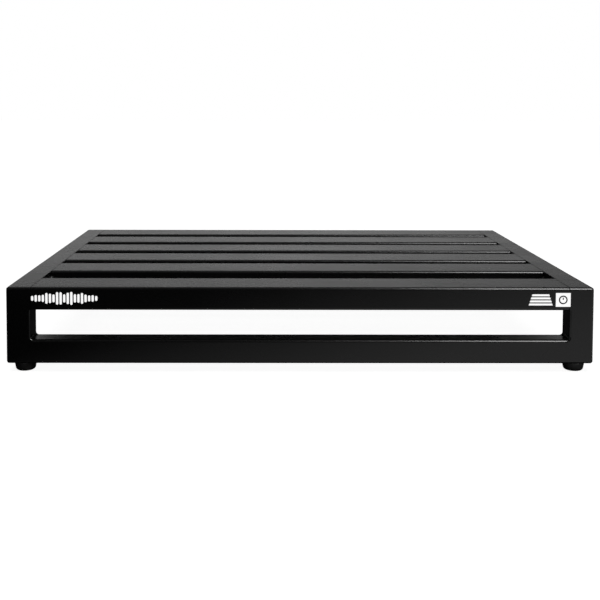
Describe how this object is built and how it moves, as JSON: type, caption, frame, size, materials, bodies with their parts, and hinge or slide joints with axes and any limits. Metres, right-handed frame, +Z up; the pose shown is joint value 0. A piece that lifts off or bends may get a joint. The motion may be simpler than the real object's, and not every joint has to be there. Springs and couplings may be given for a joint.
{
  "type": "pedalboard",
  "caption": "Flat welded aluminium pedalboard: slotted deck of wide cross rails on a low open frame front and rear, with rubber feet.",
  "frame": {"origin": "on the floor, under the middle of the board", "axes": "+X to the right along the width, +Y to the rear, so the front with the printed marks faces -Y, +Z up"},
  "size_m": [0.6096, 0.4319, 0.0889],
  "materials": {
    "black_powder_coat": "satin black powder coat on aluminium tube",
    "black_rubber": "matte moulded rubber",
    "zinc_steel": "zinc plated steel",
    "white_print": "white printed ink"
  },
  "bodies": {
    "root": {"deck_rail_1": "black_powder_coat", "deck_rail_2": "black_powder_coat", "deck_rail_3": "black_powder_coat", "deck_rail_4": "black_powder_coat", "deck_rail_5": "black_powder_coat", "deck_rail_6": "black_powder_coat", "side_rail_left": "black_powder_coat", "side_rail_right": "black_powder_coat", "end_plate_front_left": "black_powder_coat", "end_plate_front_right": "black_powder_coat", "end_plate_rear_left": "black_powder_coat", "end_plate_rear_right": "black_powder_coat", "post_front_left": "black_powder_coat", "post_front_right": "black_powder_coat", "post_rear_left": "black_powder_coat", "post_rear_right": "black_powder_coat", "lower_rail_front": "black_powder_coat", "lower_rail_rear": "black_powder_coat", "weld_corner_front_left": "black_powder_coat", "weld_corner_front_right": "black_powder_coat", "weld_corner_rear_left": "black_powder_coat", "weld_corner_rear_right": "black_powder_coat", "welds_deck_left": "black_powder_coat", "welds_deck_right": "black_powder_coat", "welds_post_front_left": "black_powder_coat", "welds_post_front_right": "black_powder_coat", "welds_post_rear_left": "black_powder_coat", "welds_post_rear_right": "black_powder_coat", "foot_front_left": "black_rubber", "foot_front_right": "black_rubber", "foot_rear_left": "black_rubber", "foot_rear_right": "black_rubber", "foot_washer_front_left": "zinc_steel", "foot_washer_front_right": "zinc_steel", "foot_washer_rear_left": "zinc_steel", "foot_washer_rear_right": "zinc_steel", "foot_screw_front_left": "zinc_steel", "foot_screw_front_right": "zinc_steel", "foot_screw_rear_left": "zinc_steel", "foot_screw_rear_right": "zinc_steel", "rivet_nut_front_left": "zinc_steel", "rivet_nut_front_right": "zinc_steel", "rivet_nut_rear_left": "zinc_steel", "rivet_nut_rear_right": "zinc_steel", "print_knob": "white_print", "print_rails": "white_print", "print_wave": "white_print"}
  },
  "joints": []
}
